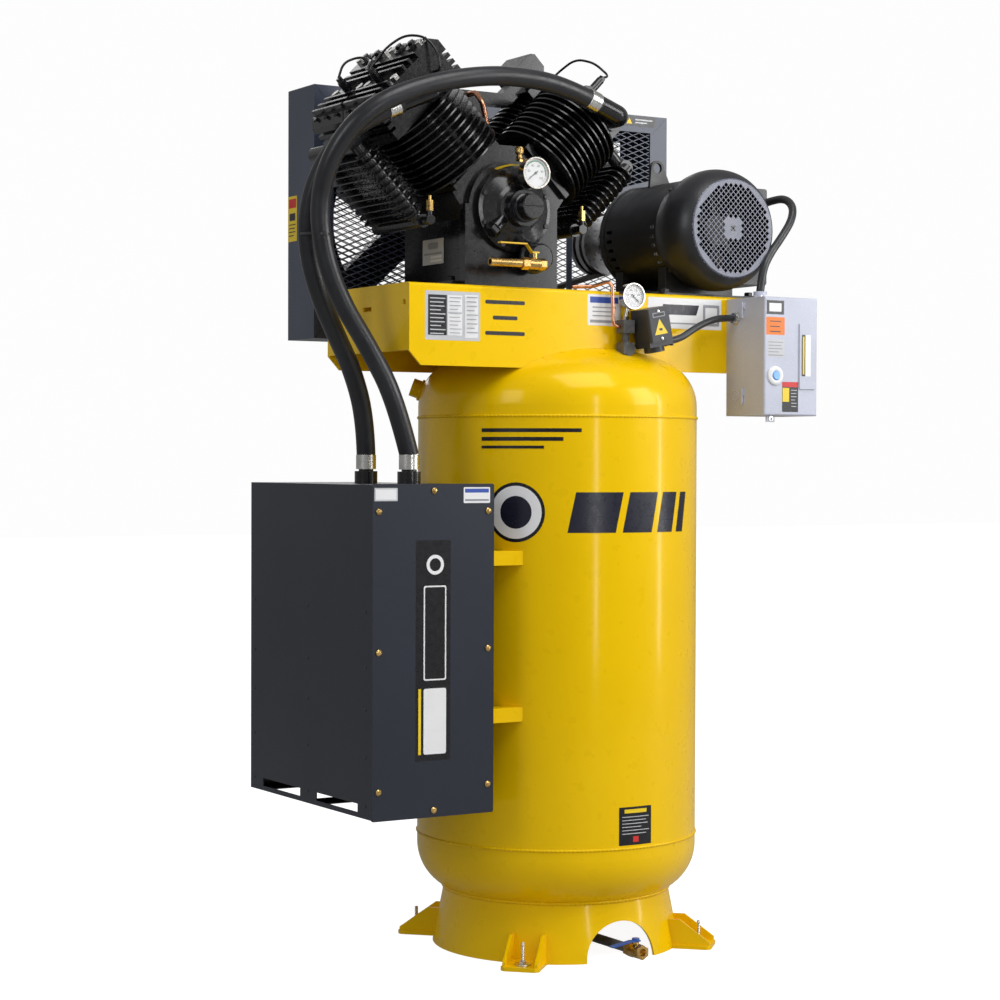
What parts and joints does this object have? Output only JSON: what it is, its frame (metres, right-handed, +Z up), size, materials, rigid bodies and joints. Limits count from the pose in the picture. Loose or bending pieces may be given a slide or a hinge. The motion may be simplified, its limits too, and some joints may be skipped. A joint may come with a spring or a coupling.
{
  "type": "vertical tank compressor",
  "caption": "Upright air tank with a V-type pump and a belt-driven electric motor on a platform on top, an intake silencer box on its side and a motor starter.",
  "frame": {"origin": "centre of the floor bolt circle, on the floor under the feet", "axes": "+Z up along the tank's axis, +X towards the motor and starter, -Y towards the side with the gauges and the starter's cover"},
  "size_m": [1.1873, 0.714, 1.938],
  "materials": {
    "tank_paint": "gloss painted",
    "pump_paint": "painted",
    "guard_paint": "powder coated",
    "silencer_paint": "powder coated",
    "motor_paint": "satin painted",
    "starter_paint": "painted",
    "pipe_fittings": "oxidised",
    "zinc_steel": "zinc plated",
    "machined_iron": "machined",
    "bearing_steel": "ground",
    "rotor_steel": "machined",
    "stator_laminations": "varnished",
    "brass": "polished",
    "copper": "drawn",
    "gauge_case": "satin",
    "cooler_aluminium": "painted",
    "piston_aluminium": "machined",
    "die_cast_zinc": "cast",
    "filter_can": "painted",
    "filter_paper": "pleated",
    "belt_rubber": "matt",
    "hose_rubber": "satin",
    "conduit_pvc": "satin",
    "cable_pvc": "satin",
    "switch_plastic": "moulded",
    "contactor_plastic": "moulded",
    "button_blue": "moulded",
    "lever_black": "moulded",
    "lever_yellow": "dipped",
    "lever_blue": "dipped",
    "pointer_black": "painted"
  },
  "bodies": {
    "frame": {"tank_vessel": "tank_paint", "tank_skirt": "tank_paint", "tank_feet": "tank_paint", "tank_fittings": "pipe_fittings", "tank_drain_valve": "brass", "platform": "tank_paint", "silencer_body": "silencer_paint", "silencer_cover": "silencer_paint", "silencer_screws": "brass", "silencer_filters": "filter_paper", "silencer_arms": "tank_paint", "hose_fittings": "zinc_steel", "crankcase": "pump_paint", "bearing_cover": "pump_paint", "oil_filter": "filter_can", "oil_gauge": "gauge_case", "oil_drain_valve": "brass", "crank_bearings": "bearing_steel", "cylinders": "pump_paint", "cylinder_heads": "pump_paint", "head_bolts": "zinc_steel", "unloaders": "pump_paint", "discharge_manifold": "pump_paint", "intercoolers": "cooler_aluminium", "relief_valves": "brass", "copper_tubes": "copper", "belts": "belt_rubber", "guard_frame": "guard_paint", "guard_mesh": "guard_paint", "guard_back": "guard_paint", "motor_shell": "motor_paint", "motor_fan_cover": "motor_paint", "motor_end_bell": "motor_paint", "motor_base": "motor_paint", "motor_stator": "stator_laminations", "motor_terminal_box": "motor_paint", "starter_box": "starter_paint", "contactor": "contactor_plastic", "switch_base": "die_cast_zinc", "switch_cover": "switch_plastic", "tank_gauge": "gauge_case", "left_intake_hose": "hose_rubber", "right_intake_hose": "hose_rubber", "motor_conduit": "conduit_pvc", "switch_cable": "cable_pvc"},
    "crank_set": {"crankshaft": "machined_iron", "flywheel": "pump_paint"},
    "motor_rotor_set": {"motor_rotor": "rotor_steel", "motor_pulley": "machined_iron"},
    "front_left_piston_set": {"front_left_piston": "piston_aluminium"},
    "front_right_piston_set": {"front_right_piston": "piston_aluminium"},
    "rear_left_piston_set": {"rear_left_piston": "piston_aluminium"},
    "rear_right_piston_set": {"rear_right_piston": "piston_aluminium"},
    "oil_drain_handle": {"oil_drain_lever": "lever_yellow"},
    "tank_drain_handle": {"tank_drain_lever": "lever_blue"},
    "switch_handle": {"switch_lever": "lever_black"},
    "oil_pointer": {"oil_gauge_pointer": "pointer_black"},
    "tank_pointer": {"tank_gauge_pointer": "pointer_black"},
    "starter_door": {"starter_cover": "starter_paint"},
    "reset_push": {"reset_button": "button_blue"}
  },
  "joints": [
    {"name": "crank_spin", "type": "hinge", "parent": "frame", "child": "crank_set", "pos_m": [-0.199, 0, 1.576], "axis": [0, 1, 0], "continuous": true},
    {"name": "motor_spin", "type": "hinge", "parent": "frame", "child": "motor_rotor_set", "pos_m": [0.32, 0, 1.56], "axis": [0, 1, 0], "continuous": true},
    {"name": "front_left_piston_slide", "type": "slide", "parent": "frame", "child": "front_left_piston_set", "axis": [-0.7071, 0, 0.7071], "range_m": [-0.032, 0.032]},
    {"name": "rear_left_piston_slide", "type": "slide", "parent": "frame", "child": "rear_left_piston_set", "axis": [-0.7071, 0, 0.7071], "range_m": [-0.032, 0.032]},
    {"name": "front_right_piston_slide", "type": "slide", "parent": "frame", "child": "front_right_piston_set", "axis": [0.7071, 0, 0.7071], "range_m": [-0.032, 0.032]},
    {"name": "rear_right_piston_slide", "type": "slide", "parent": "frame", "child": "rear_right_piston_set", "axis": [0.7071, 0, 0.7071], "range_m": [-0.032, 0.032]},
    {"name": "oil_drain_turn", "type": "hinge", "parent": "frame", "child": "oil_drain_handle", "pos_m": [-0.192, -0.21, 1.48], "axis": [0, 0, 1], "range_deg": [0, 90]},
    {"name": "tank_drain_turn", "type": "hinge", "parent": "frame", "child": "tank_drain_handle", "pos_m": [0, -0.31, 0.0487], "axis": [0, 0, 1], "range_deg": [-90, 0]},
    {"name": "switch_lever_turn", "type": "hinge", "parent": "frame", "child": "switch_handle", "pos_m": [0.1252, -0.245, 1.3225], "axis": [0.9816, 0, 0.1908], "range_deg": [-35, 0]},
    {"name": "oil_pointer_turn", "type": "hinge", "parent": "frame", "child": "oil_pointer", "pos_m": [-0.181, -0.1945, 1.648], "axis": [0, 1, 0], "range_deg": [0, 263], "stiffness_Nm_per_rad": 0.002},
    {"name": "tank_pointer_turn", "type": "hinge", "parent": "frame", "child": "tank_pointer", "pos_m": [0.054, -0.2125, 1.401], "axis": [0, 1, 0], "range_deg": [-265, 5], "stiffness_Nm_per_rad": 0.002},
    {"name": "starter_door_hinge", "type": "hinge", "parent": "frame", "child": "starter_door", "pos_m": [0.3234, -0.24, 1.278], "axis": [0, 0, 1], "range_deg": [-90, 0]},
    {"name": "reset_press", "type": "slide", "parent": "starter_door", "child": "reset_push", "axis": [0, 1, 0], "range_m": [0, 0.004], "stiffness_N_per_m": 400}
  ],
  "couplings": [
    {"joint": "motor_spin", "follows": "crank_spin", "ratio": 3.619},
    {"joint": "rear_left_piston_slide", "follows": "front_left_piston_slide", "ratio": -1},
    {"joint": "rear_right_piston_slide", "follows": "front_right_piston_slide", "ratio": -1}
  ]
}
